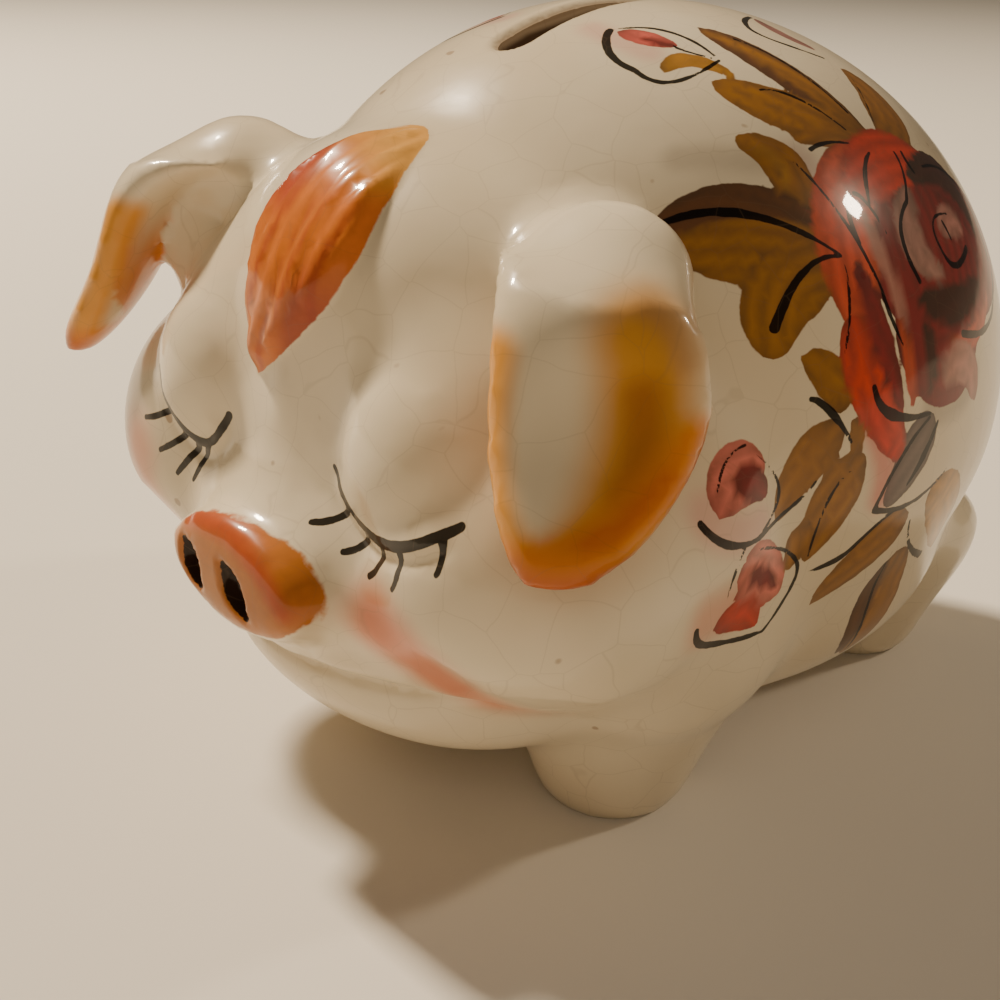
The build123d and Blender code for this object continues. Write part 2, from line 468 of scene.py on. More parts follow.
def relax(thing, wanted, rounds):
    """Smooths the wanted vertices over."""
    take(thing)
    bpy.ops.object.mode_set(mode="EDIT")
    clay = bmesh.from_edit_mesh(thing.data)
    bpy.ops.mesh.select_all(action="DESELECT")
    for vert in clay.verts:
        vert.select = bool(wanted[vert.index])
    clay.select_flush_mode()
    bmesh.update_edit_mesh(thing.data)
    bpy.ops.mesh.vertices_smooth(factor=0.5, repeat=rounds)
    bpy.ops.object.mode_set(mode="OBJECT")


def tooled(co, slack):
    """Where the tools touch the clay, with some slack round them."""
    lids_near = np.minimum(lid_gap(co, 1)[0], lid_gap(co, -1)[0])
    near = np.minimum(np.abs(forelock_gap(co)[0]), np.abs(nostril_gap(co)))
    near = np.minimum(np.minimum(near, lids_near), mouth_gap(co)[0])
    return (near < slack) | (np.abs(slot_gap(co)) < slack + 0.8)


refine(skin, tooled(places_of(skin), 2.2))
relax(skin, tooled(places_of(skin), 2.6), 3)
co = places_of(skin)
normals = np.empty(len(co) * 3)
skin.data.vertices.foreach_get("normal", normals)
normals = normals.reshape(-1, 3)
push = np.zeros(len(co))
gap, along, across = forelock_gap(co)
raised = ease(gap, 0.5, -2.4)
comb = COMB_DEPTH * np.sin(across * 1.9 + 1.5 * np.sin(along * 5))
push += FORELOCK_PROUD * raised * ease(along, -0.1, 0.15) * ease(along, 1.05, 0.8)
push += comb * ease(gap, -1, -3)
for sign in (1, -1):
    away, along, side = lid_gap(co, sign)
    ends = ease(along, 0, 0.12) * ease(along, 1, 0.88)
    above = side > 0
    push += LID_PROUD * ends * np.where(above, ease(away, 4.5, 0.9), ease(away, 0.9, 0))
    push -= LID_DEPTH * ends * np.where(above, 0, ease(away, 2.8, 1.4) * ease(away, 0.5, 1.4))
push -= NOSTRIL_DEPTH * ease(nostril_gap(co), 0.35, -1.3)
away, along, side = mouth_gap(co)
mouth_end = ease(along, 1, 0.75)
push -= MOUTH_DEPTH * ease(away, 1.7, 0) * mouth_end
push += np.where(side > 0, LIP_PROUD * ease(away, 6, 1.8) * mouth_end, 0)
wiped = ease(slot_gap(co), 1.9, -0.2)
co = co + normals * push[:, None]
co[:, 2] -= SLOT_WIPE * wiped**2
skin.data.vertices.foreach_set("co", (co * MM).ravel())
skin.data.update()

EAR_OUT = EAR_BACK.cross(EAR_UP)


def ear_places(co, sign):
    """Places in an ear's own directions: back from its tip, up from its tip, and out from its face."""
    offset = co * np.array((sign, 1, 1)) - np.array(EAR_TIP)
    return offset @ np.array(EAR_BACK), offset @ np.array(EAR_UP), offset @ np.array(EAR_OUT)


for sign in (1, -1):
    back, up, out = ear_places(co, sign)
    dish = ease(np.hypot((back - 5.4) / 9.5, (up - 13) / 12), 1, 0.25) * ease(out, -1.5, 0.5)
    outward = np.array(EAR_OUT) * np.array((sign, 1, 1))
    co = co - outward * (EAR_DISH * dish)[:, None]
skin.data.vertices.foreach_set("co", (co * MM).ravel())
skin.data.update()
take(skin)
bpy.ops.object.shade_smooth()

# The fired surface is remembered here, because the pieces below are cut from it and keep its smoothness.

fired = bmesh.new()
fired.from_mesh(skin.data)
bmesh.ops.triangulate(fired, faces=fired.faces[:])
fired.faces.ensure_lookup_table()
fired_tree = BVHTree.FromBMesh(fired)
SKIN_SLACK = 0.3


def fired_normal(place):
    """The fired skin's smooth direction at a place, and how far the place is off that skin."""
    nearest, flat_normal, index, distance = fired_tree.find_nearest(place)
    corners = fired.faces[index].verts
    weights = poly_3d_calc([corner.co for corner in corners], nearest)
    direction = sum((corner.normal * weight for corner, weight in zip(corners, weights)), Vector())
    return direction.normalized(), distance


# Painting on the flanks. Each leaf, petal and line is one pressed brush mark, given by its start, middle and
# end: how far back each is, and how far down over the side from the middle of the back, in millimetres. Both
# flanks carry the same spray: a full-blown rose with leaves round it, and buds above and below it. Among the
# petals lie a pale line and a pale patch over the rose's middle: a painted highlight and a painted reflection
# of the glaze's sheen.

OCHRE, GOLD, BROWN = (0.30, 0.115, 0.004), (0.44, 0.19, 0.008), (0.10, 0.028, 0.004)
CORAL, SCARLET, CRIMSON = (0.58, 0.065, 0.02), (0.56, 0.03, 0.008), (0.20, 0.002, 0.008)
# The pale pink serves only as a painted highlight on the rose's middle, not as a paint of the pig's own.
WINE, PAINTED_HIGHLIGHT_PINK, ASH = (0.04, 0.002, 0.003), (0.52, 0.22, 0.17), (0.13, 0.09, 0.08)

# start, middle, end, breadth, colour
PETALS = (
    ((9, 40), (10, 53), (8, 68), 32, CRIMSON),
    ((5, 39), (-6, 47), (-8, 62), 11, CORAL),
    ((-4, 45), (7, 40), (20, 42), 9, SCARLET),
    ((-10, 58), (-8, 67), (-3, 77), 8, SCARLET),
    ((14, 42), (30, 51), (17, 63), 11, CRIMSON),
    ((-2, 60), (7, 67), (17, 64), 11, CRIMSON),
    ((-7, 52), (-6, 61), (-3, 71), 4, CRIMSON),
    ((1, 45), (0, 57), (1, 70), 6, CRIMSON),
    # This thin pale pink line down the rose's middle is a painted highlight: the glaze's sheen laid in as
    # colour.
    ((-3, 46), (-2, 54), (-1, 62), 2.5, PAINTED_HIGHLIGHT_PINK),
    ((-2, 60), (-1, 66), (-1, 71), 2.5, CORAL),
    ((10, 43), (22, 42), (27, 51), 6, WINE),
    ((3, 58), (12, 60), (23, 57), 5, WINE),
    ((3, 61), (4, 66), (3, 70), 3.5, WINE),
    # This pale pinkish-grey mark beside the rose's middle is a painted reflection of the glaze's sheen, not a
    # petal.
    ((9, 44), (5, 51), (11, 56), 6, (0.34, 0.17, 0.14)),
    ((13, 51), (17, 49), (21, 51), 5, (0.42, 0.18, 0.15)),
    ((8, 64), (16, 65), (25, 60), 3, CORAL),
    ((6, 69), (13, 68), (16, 74), 6, (0.45, 0.17, 0.13)),
    ((-34, 77), (-30, 73), (-25, 74), 8, (0.62, 0.16, 0.12)),
    ((-31, 75), (-28, 74.5), (-25, 77), 5, CRIMSON),
    ((-31, 85), (-26, 87), (-21, 91), 9, (0.66, 0.17, 0.12)),
    ((-34, 91), (-29, 91), (-25, 94), 5, SCARLET),
    ((-29, 87), (-26, 87), (-22, 90), 3, CRIMSON),
    ((-15.5, 11), (-14, 14.5), (-12, 17.5), 3.4, (0.62, 0.10, 0.08)),
    ((-14.5, 14), (-13.5, 16), (-12, 17.5), 1.6, CRIMSON),
    ((9.5, 11.5), (9, 16), (13, 20), 2.6, (0.38, 0.16, 0.14)),
)
LEAVES = (
    ((6, 38), (-1, 26), (-6, 15), 6.5, BROWN),
    ((6, 37.5), (0, 26.5), (-6, 16), 4, OCHRE),
    ((6, 37.5), (-5, 32.5), (-13, 25), 7.5, OCHRE),
    ((4, 38.5), (-2, 36), (-8, 36), 3.5, OCHRE),
    ((9, 38), (15, 32), (14, 24), 9, OCHRE),
    ((-14, 45), (-11.5, 39), (-16, 33.5), 6, OCHRE),
    ((-13.5, 42), (-12, 38), (-15, 35), 2, GOLD),
    ((-9, 51), (-19, 43), (-29, 40), 8, BROWN),
    ((-9, 51.5), (-19, 48), (-29, 43), 9, OCHRE),
    ((-9, 52), (-18, 53), (-21, 61), 10, OCHRE),
    ((-13.5, 69), (-14.5, 64.5), (-18, 61), 5, OCHRE),
    ((-12, 70.5), (-11, 72), (-12, 74.5), 2.5, OCHRE),
    ((-13, 71), (-18, 74), (-23, 81), 6, OCHRE),
    ((-10, 75), (-14, 80), (-17, 88), 7, OCHRE),
    ((-17.5, 82.5), (-18.5, 85), (-20, 88.5), 4, OCHRE),
    ((5, 85), (12, 88), (17, 98), 9, GOLD),
    ((1, 86), (-5, 89), (-13, 96), 7, OCHRE),
    ((2, 92), (4, 101), (3, 112), 9, OCHRE),
    ((1, 93), (0, 101), (1, 111), 4, BROWN),
    ((-17, 21), (-13, 20.5), (-9, 25.5), 2.8, GOLD),
    ((4, 73), (0, 77), (-5, 83), 7, ASH),
)
# start, middle, end, thickness at each
INK_LINES = (
    ((-29, 40), (-20, 42.5), (-9, 51), (0.9, 1.2, 0.4)),
    ((-9, 51), (-15, 51.5), (-20.5, 57), (0.4, 0.9, 1.3)),
    ((-10, 38.5), (-7, 46), (-4, 56), (0.3, 0.5, 0.5)),
    ((-4, 56), (-3.5, 59), (-2, 63), (0.5, 0.7, 0.3)),
    ((-9, 52), (-10, 57), (-12, 62), (0.3, 0.4, 0.3)),
    ((4, 39), (1, 41.5), (-1, 45.5), (0.4, 0.9, 0.5)),
    ((12, 39), (12, 40.5), (12.5, 42), (0.5, 0.7, 0.4)),
    ((10, 39), (9.5, 42), (7, 46), (0.3, 0.6, 0.5)),
    ((7, 46), (3, 50), (4, 56), (0.5, 0.8, 0.8)),
    ((-3, 44), (-1.5, 45.5), (0, 49.5), (0.7, 0.6, 0.3)),
    ((-4, 44), (-5.5, 46.5), (-5.5, 50), (0.7, 0.9, 0.5)),
    ((16, 41), (28, 43), (31, 55), (0.4, 0.7, 0.5)),
    ((31, 57), (24, 64), (13, 64), (0.5, 0.9, 1.1)),
    ((11, 51), (14, 55), (20, 53), (0.4, 0.9, 1.0)),
    ((11, 51), (12.5, 48.5), (17, 48), (0.4, 0.4, 0.3)),
    ((14.5, 49), (15, 50), (15.5, 51.5), (0.4, 0.7, 0.4)),
    ((-8, 67), (-5, 71), (3, 72.5), (0.8, 1.5, 0.5)),
    ((3, 73), (-3, 77), (-7, 83), (0.5, 0.7, 0.7)),
    ((-7, 83), (1, 84), (9, 81.5), (0.8, 0.7, 0.3)),
    ((5, 74), (2, 78), (-1, 81), (0.5, 1.3, 0.4)),
    ((-2, 84), (-6, 85.5), (-10, 88.5), (0.4, 0.5, 0.8)),
    ((-10, 88.5), (-12.5, 89.5), (-16, 90), (0.9, 1.0, 0.3)),
    ((-7.5, 28), (-3, 30), (2, 35.5), (0.3, 0.5, 0.3)),
    ((-3, 18.5), (1, 24), (5, 33), (0.3, 0.4, 0.3)),
    ((-6.5, 37.5), (-3, 37), (1, 37.5), (0.5, 0.5, 0.3)),
    ((14, 26), (12, 30), (9.5, 34.5), (0.2, 0.3, 0.2)),
    ((-17.5, 66.5), (-15, 68.5), (-12, 73), (0.7, 1.2, 0.4)),
    ((-11.5, 76.5), (-15, 80), (-16.5, 87.5), (0.3, 0.5, 0.3)),
    ((2, 87), (5, 92), (12, 97), (0.3, 0.6, 1.3)),
    ((0.5, 91.5), (1, 100), (3, 111), (0.3, 0.6, 0.5)),
    ((-27.5, 70), (-31.5, 71), (-34, 74.5), (0.3, 0.4, 0.3)),
    ((-26, 71.5), (-22.5, 77), (-26, 81), (0.2, 0.4, 0.6)),
    ((-37, 77), (-33, 80.5), (-26.5, 81.5), (0.9, 1.0, 0.5)),
    ((-17, 77), (-21, 80), (-27, 81.5), (0.3, 0.6, 0.7)),
    ((-30, 81.5), (-32, 84.5), (-33, 88), (0.4, 0.5, 0.2)),
    ((-27, 83), (-18, 88.5), (-23.5, 95.5), (0.3, 0.7, 0.5)),
    ((-38, 89.5), (-34, 93.5), (-23.5, 95.5), (0.9, 1.1, 0.5)),
    ((-16, 10), (-19.5, 14), (-19.5, 19), (1.0, 1.0, 0.8)),
    ((-19.5, 19), (-17, 23), (-9, 22), (0.8, 0.6, 0.4)),
    ((-15, 10.5), (-10.5, 14.5), (-9, 21), (0.4, 0.5, 0.5)),
    ((-12.5, 17.5), (-11.5, 19.5), (-9.5, 21.5), (0.4, 0.4, 0.2)),
    ((9, 11), (3, 17), (12, 22), (0.8, 0.7, 0.4)),
)
# start, middle, end, breadth, colour, strength
WASHES = (
    ((-23, 33), (-19, 35), (-15, 37), 5, ASH, 0.35),
    ((-9, 38), (-8, 44), (-9, 54), 6, (0.45, 0.30, 0.27), 0.5),
    ((-8, 72), (-6, 77), (-6, 81), 6, (0.62, 0.12, 0.10), 0.6),
    ((-36, 76), (-33, 79), (-27, 80), 7, (0.66, 0.36, 0.30), 0.6),
    ((-36, 89), (-32, 89), (-26, 88), 9, (0.70, 0.30, 0.20), 0.6),
    ((-17, 8), (-17, 12), (-16, 17), 5, (0.66, 0.34, 0.28), 0.5),
    ((3, 72), (10, 73), (16, 70), 5, ASH, 0.4),
)


def between(low_value, high_value, share):
    """Blends two rows of colours or numbers by a share for each row."""
    return low_value * (1 - share[:, None]) + high_value * share[:, None]


class Painting:
    """What the brush has left on every vertex: soft washes, marks with an edge, and black lines."""

    def __init__(self, count):
        self.wash = np.tile((0.7, 0.5, 0.4, 0.0), (count, 1))
        self.paint = np.tile((0.4, 0.2, 0.1), (count, 1))
        self.edge = np.full(count, 9.0)
        self.line = np.full(count, 9.0)

    def lay_wash(self, flat, curve, breadth, colour, strength):
        """A wet mark that fades out over its own width."""
        away = mark(flat, curve, reach=breadth)[0]
        share = strength * ease(away, breadth * 0.75, breadth * 0.1)
        wins = np.where(share > self.wash[:, 3], 1, share)
        self.wash[:, :3] = between(self.wash[:, :3], np.array(colour), wins)
        self.wash[:, 3] = 1 - (1 - self.wash[:, 3]) * (1 - share)

    def lay_mark(self, flat, curve, breadth, colour):
        """A loaded mark with an edge: darker where the paint pools, and streaked along its length."""
        away, along, side = mark(flat, curve, reach=breadth / 2 + 4)
        gap = away - breadth / 2 * full_brush(along)
        across = away * side
        streak = 1 + 0.22 * np.sin(across * 2.6 + 2 * np.sin(along * 4 + breadth))
        pooled = 1 - 0.3 * ease(gap, -1.1, -0.1) - 0.25 * ease(along, 0.45, 0)
        shade = np.array(colour) * (streak * pooled)[:, None]
        on_bare_slip = (gap < self.edge) & (self.edge > 0.2)
        cover = np.where(on_bare_slip, 1, ease(gap, 0.2, -0.3))
        self.paint = between(self.paint, shade, cover * (gap < 3))
        self.edge = np.minimum(self.edge, gap)

    def rule_line(self, flat, curve, thickness):
        """A black line that swells and thins under the brush."""
        away, along, side = mark(flat, curve, reach=3)
        half = np.interp(along, (0, 0.5, 1), thickness) / 2
        self.line = np.minimum(self.line, away - half)


def flank_places(co):
    """How far back a place is, and how far down over the side from the back's middle."""
    down = 51.5 * np.arctan2(np.abs(co[:, 0]), co[:, 2] - 48)
    return np.stack([co[:, 1], down], axis=1)


def ink_gap(co):
    """How far a place is from the nearest black line anywhere on the bank."""
    sheet = Painting(len(co))
    flat = flank_places(co)
    for start, middle, end, thickness in INK_LINES:
        sheet.rule_line(flat, (start, middle, end), thickness)
    return sheet.line


def rose_gap(co):
    """How far a place is outside the nearest edge among the rose's marks: its petals, its painted highlight
    and its painted reflection.
    """
    sheet = Painting(len(co))
    flat = flank_places(co)
    for start, middle, end, breadth, colour in PETALS:
        sheet.lay_mark(flat, (start, middle, end), breadth, colour)
    return sheet.edge


LASHES = {
    1: ((0.22, (-6, -3.5)), (0.42, (-4.5, -4)), (0.58, (-3, -5.2)), (0.72, (-1, -5.4)), (0.94, (0.3, -4.2))),
    -1: ((0.80, (6.5, -3)), (0.62, (5.5, -4)), (0.46, (4.5, -5.6)), (0.3, (3.2, -6))),
}


def draw_lids(sheet, co):
    """The closed lids: one long curved line each, and lashes that sweep to the pig's right."""
    for sign, (start, middle, end) in LID_LINES.items():
        front = (co[:, 1] < -38) & (co[:, 0] * sign > 0)
        flat = np.where(front[:, None], np.stack([co[:, 0] * sign, co[:, 2] - 0.5], axis=1), 999)
        sheet.rule_line(flat, (start, middle, end), (0.8, 1.3, 1.2) if sign == 1 else (1.1, 1.3, 0.8))
        lid_line = bow(start, middle, end, steps=101)
        for place, sweep in LASHES[sign]:
            root = lid_line[round(place * 100)]
            tip = root + sweep
            belly = (root + tip) / 2 + (0.4, -0.5)
            sheet.rule_line(flat, (root, belly, tip), (1.05, 0.95, 0.7))


def lid_ink_gap(co):
    """How far a place is from the nearest lid line or lash."""
    sheet = Painting(len(co))
    draw_lids(sheet, co)
    return sheet.line


def snout_edge_gap(co):
    """How far a place is from the edge of the snout's paint or of a nostril."""
    return np.minimum(np.abs(nostril_gap(co)), np.abs(snout_gap(co)[0]))


# The skin is cut finer where an edge of paint or a line will lie, and finest along the lids.
refine(skin, forelock_gap(places_of(skin))[0] < 0.8)
co = places_of(skin)
line_near = np.minimum(np.minimum(lid_ink_gap(co), ink_gap(co)), snout_edge_gap(co))
refine(skin, (line_near < 0.9) | (np.abs(rose_gap(co)) < 0.5))
co = places_of(skin)
refine(skin, (np.minimum(lid_ink_gap(co), ink_gap(co)) < 0.3) | (snout_edge_gap(co) < 0.35))
refine(skin, np.abs(lid_ink_gap(places_of(skin))) < 0.3)

# Cuts. The casting is hollow with walls of about 4.5 mm. Before firing the coin slot was cut through the back
# and the hole for the stopper through the belly, with a flat seat round it.

WALL = 4.5
HOLE_Y, HOLE_RADIUS, SEAT_RADIUS, SEAT_Z = 10, 13.5, 17.1, 6.4
SLOT_CUT_LOW, SLOT_CUT_DEPTH, HOLE_CUT_TOP = 70, 40, 22
HOLLOWS = (
    ("trunk", (0, -2.5, 48), (50.4, 51.4, 64.9, 53.4, 40.4)),
    ("belly", (0, 3, 30), (46, 44, 50, 22, 25.5)),
    ("head", (0, -32, 44), (49, 26.5, 30, 38, 30)),
)
hollow_lumps = []
for part, middle, sizes in HOLLOWS:
    hollow_lumps.append(egg(f"hollow_{part}", middle, tuple(size - WALL for size in sizes)))
cavity = work_together(hollow_lumps, 2.5, 6)
clear_selection()
slot_round = SLOT_WIDTH / 2 * MM
bpy.ops.mesh.primitive_circle_add(vertices=48, radius=slot_round, fill_type="NGON", location=(0, 0, 0))
slot = bpy.context.object
slot.name = "slot_cutter"
bpy.ops.object.mode_set(mode="EDIT")
for end in (1, -1):
    pick(slot, lambda co: co.y * end > 1e-7)
    bpy.ops.transform.translate(value=(0, end * (SLOT_LENGTH - SLOT_WIDTH) / 2 * MM, 0))
bpy.ops.mesh.select_all(action="SELECT")
bpy.ops.mesh.extrude_region_move(TRANSFORM_OT_translate={"value": (0, 0, SLOT_CUT_DEPTH * MM)})
bpy.ops.mesh.select_all(action="SELECT")
bpy.ops.mesh.normals_make_consistent(inside=False)
bpy.ops.object.mode_set(mode="OBJECT")
slot.location = (0, SLOT_Y * MM, SLOT_CUT_LOW * MM)
bpy.ops.object.transform_apply(location=True)
SEAT_STEPS = ((-5, SEAT_RADIUS), (SEAT_Z, SEAT_RADIUS))
HOLE_STEPS = ((SEAT_Z + 0.01, HOLE_RADIUS), (HOLE_CUT_TOP, HOLE_RADIUS))
hole_rows = [(height, 0, radius, 0, radius) for height, radius in SEAT_STEPS + HOLE_STEPS]
hole = rings("hole_cutter", Vector((0, HOLE_Y, 0)), X, Z, hole_rows, around=96, smooth=0)
for cutter in (cavity, slot, hole):
    take(skin)
    cut = skin.modifiers.new("cut", "BOOLEAN")
    cut.operation = "DIFFERENCE"
    cut.solver = "EXACT"
    cut.object = cutter
    bpy.ops.object.modifier_apply(modifier=cut.name)
    bpy.data.objects.remove(cutter)

# Painting on the face and ears. The forelock is combed orange with a dark red edge, the snout is orange with
# black nostrils, the cheeks are blushed, and each ear carries an ochre band and a red-orange hem.

ORANGE, RED_ORANGE, DEEP_RED = (0.66, 0.15, 0.001), (0.46, 0.045, 0.0005), (0.30, 0.012, 0.0005)
PALE_ORANGE, SNOUT_ORANGE, SNOUT_PINK = (0.76, 0.40, 0.08), (0.47, 0.135, 0.005), (0.50, 0.17, 0.03)


def comb_forelock(sheet, co):
    """Orange brushed along the tuft, dark red down its lower edge, and pale at the crown."""
    gap, along, across = forelock_gap(co)
    hairs = np.sin(across * 2.1 + 1.8 * np.sin(along * 5)) * np.sin(across * 0.9 - along * 3)
    colour = np.tile(ORANGE, (len(co), 1))
    colour = between(colour, np.array(RED_ORANGE), ease(hairs, 0.2, 0.9) * ease(along, 0.92, 0.7) * 0.65)
    colour = between(colour, np.array(DEEP_RED), ease(across, -2.5, -5.5) * ease(along, 0.75, 0.4) * 0.8)
    colour = between(colour, np.array(RED_ORANGE), ease(across, 3, 6) * ease(np.abs(along - 0.75), 0.2, 0.05))
    colour = between(colour, np.array(PALE_ORANGE), ease(along, 0.84, 0.97) * 0.8)
    here = gap < 3
    sheet.paint[here] = colour[here]
    sheet.edge = np.minimum(sheet.edge, gap)


def paint_snout(sheet, co):
    """Orange over the flat end, pinker in the middle, a darker streak on top, and two black nostrils."""
    gap, flat = snout_gap(co)
    streak_away, streak_along, streak_side = mark(flat, ((-9, 41), (3, 41.5), (12, 36)))
    colour = np.tile(SNOUT_ORANGE, (len(co), 1))
    off_middle = np.hypot(flat[:, 0] + 2, flat[:, 1] - 34)
    colour = between(colour, np.array(SNOUT_PINK), ease(off_middle, 5, 1))
    colour = between(colour, np.array(RED_ORANGE), 0.85 * ease(streak_away, 2.4, 0.2))
    here = gap < 3
    sheet.paint[here] = colour[here]
    sheet.edge = np.minimum(sheet.edge, gap)
    sheet.line = np.minimum(sheet.line, nostril_gap(co) + 0.1)


# start, middle, end, breadth, colour, strength: back from the ear's tip, and up from it
EAR_WASHES = (
    ((-5.2, 21), (-5.8, 11), (-4, 3), 6, (0.72, 0.30, 0.03), 0.85),
    ((9, 22.5), (9.5, 13), (6, 3), 12, (0.60, 0.27, 0.04), 0.9),
    ((9.5, 17), (9.5, 12), (8, 8), 5, (0.34, 0.11, 0.015), 0.75),
    ((-1, 1), (7, 4.5), (15, 12.5), 6, (0.62, 0.19, 0.006), 0.95),
    ((4, 3.5), (8, 5.5), (12, 9.5), 2.4, (0.50, 0.10, 0.004), 0.6),
    ((2, -1), (11, 2), (17, 13), 2.6, (0.40, 0.12, 0.02), 0.8),
    ((-4, 1), (0, 0), (4, 0), 5, (0.66, 0.20, 0.02), 0.8),
    ((10, 26), (12, 24), (14, 21), 4, ASH, 0.3),
)


def paint_ear(sheet, co, sign, on_ear):
    """Ochre and orange washes down the ear's face, redder at its hem."""
    back, up, out = ear_places(co, sign)
    flat = np.where(on_ear[:, None], np.stack([back, up], axis=1), 999)
    for start, middle, end, breadth, colour, strength in EAR_WASHES:
        sheet.lay_wash(flat, (start, middle, end), breadth, colour, strength)
    inner = on_ear & (out < -4)
    flat_inner = np.where(inner[:, None], flat, 999)
    sheet.lay_wash(flat_inner, ((5, 11), (6, 7), (5, 2)), 22, (0.66, 0.20, 0.01), 0.9)
    sheet.lay_wash(flat, ((-3, -1), (3, -1.6), (8, 0)), 5, DEEP_RED, 0.5)


# side, start, middle, end, strength: across that side, and up
BLUSHES = ((1, (22, 36), (26, 34), (31, 30.5), 0.8), (-1, (32, 42), (32, 35), (28, 29), 0.6))
BLUSH, BLUSH_BREADTH = (0.70, 0.19, 0.09), 13


def blush_cheeks(sheet, co):
    """A soft blush on both cheeks."""
    for sign, start, middle, end, strength in BLUSHES:
        front = (co[:, 1] < -30) & (co[:, 0] * sign > 0)
        flat = np.where(front[:, None], np.stack([co[:, 0] * sign, co[:, 2]], axis=1), 999)
        sheet.lay_wash(flat, (start, middle, end), BLUSH_BREADTH, BLUSH, strength)


def castings_of(co):
    """Which casting each vertex belongs to: the one whose own lump it lies nearest."""
    names = list(forms)
    distances = np.full((len(co), len(names)), 99.0)
    near_ear = (np.abs(co[:, 0]) > 20) & (co[:, 1] < -24) & (co[:, 2] > 45)
    regions = {
        "left_ear": near_ear & (co[:, 0] > 0),
        "right_ear": near_ear & (co[:, 0] < 0),
        "snout": (co[:, 1] < -52) & (np.abs(co[:, 0]) < 22) & (co[:, 2] < 50),
        "tail": (co[:, 1] > 52) & (co[:, 2] > 42) & (np.abs(co[:, 0]) < 14),
        "body_shell": np.ones(len(co), dtype=bool),
    }
    for node in names:
        if node.endswith("leg"):
            side = co[:, 0] > 0 if "left" in node else co[:, 0] < 0
            end = co[:, 1] < 8 if "front" in node else co[:, 1] > 8
            regions[node] = side & end & (co[:, 2] < 28) & (np.abs(co[:, 0]) > 2)
    for column, node in enumerate(names):
        for index in np.nonzero(regions[node])[0]:
            distances[index, column] = forms[node].find_nearest(Vector(co[index] * MM))[3] / MM
    distances[:, names.index("body_shell")] -= 0.3
    labels = np.array(names, dtype=object)[distances.argmin(axis=1)]
    gap = forelock_gap(co)[0]
    labels[(gap < 0.9) & (labels == "body_shell")] = "forelock"
    snout_end = (co[:, 1] < -61) & (np.abs(co[:, 0]) < 15) & (co[:, 2] > 25) & (co[:, 2] < 46)
    labels[snout_end] = "snout"
    return labels


co = places_of(skin)
off_skin = np.array([fired_tree.find_nearest(Vector(place * MM))[3] / MM for place in co])
outside = off_skin < SKIN_SLACK
labels = castings_of(co)
labels[~outside] = "body_shell"
work = Painting(len(co))
on_flank = outside & np.array([label == "body_shell" or label.endswith("leg") for label in labels])
flank = np.where(on_flank[:, None], flank_places(co), 999)
for start, middle, end, breadth, colour, strength in WASHES:
    work.lay_wash(flank, (start, middle, end), breadth, colour, strength)
for start, middle, end, breadth, colour in (*LEAVES, *PETALS):
    work.lay_mark(flank, (start, middle, end), breadth, colour)
for start, middle, end, thickness in INK_LINES:
    work.rule_line(flank, (start, middle, end), thickness)
face = np.where(outside[:, None], co, 999)
comb_forelock(work, face)
paint_snout(work, face)
blush_cheeks(work, face)
draw_lids(work, face)
for node, sign in (("left_ear", 1), ("right_ear", -1)):
    paint_ear(work, co, sign, labels == node)
# The slip is thin on the slot's lips, and the clay shows through: a wash along the line where the gap is 0.
lip = np.where(outside, np.abs(slot_gap(co)), 9)
work.lay_wash(np.stack([lip, lip * 0], axis=1), ((0, 0), (0, 0.01), (0, 0.02)), 1.6, (0.20, 0.12, 0.07), 0.6)
bare = np.where(outside, 0.0, 1.0)


def keep(thing, name, kind, values):
    """Stores painted values on the thing's vertices."""
    layer = thing.data.attributes.new(name, kind, "POINT")
    channel = "color" if kind == "FLOAT_COLOR" else "value"
    layer.data.foreach_set(channel, np.ascontiguousarray(values, dtype=np.float32).ravel())


ones = np.ones((len(co), 1))
keep(skin, "wash", "FLOAT_COLOR", np.hstack([work.wash[:, :3], ones]))
keep(skin, "wash_strength", "FLOAT", work.wash[:, 3])
keep(skin, "paint", "FLOAT_COLOR", np.hstack([work.paint, ones]))
keep(skin, "paint_edge", "FLOAT", np.clip(work.edge, -3, 3))
keep(skin, "ink", "FLOAT", np.clip(work.line, -3, 3))
keep(skin, "bare_clay", "FLOAT", bare)

# Glaze. Ivory slip with a few iron specks under a clear, glossy glaze that has crazed finely; inside the bank
# the clay is bare. One glaze covers every casting, and it shows the painting beneath it.


SLIP, PALE_SLIP, IRON_SPECK = (0.72, 0.60, 0.42, 1), (0.79, 0.68, 0.50, 1), (0.24, 0.12, 0.06, 1)
DRY_BRISTLE, BLACK_INK = (0.02, 0.01, 0.005, 1), (0.004, 0.003, 0.003, 1)
CRAZING_STAIN, BARE_CLAY = (0.20, 0.13, 0.08, 1), (0.10, 0.06, 0.035, 1)


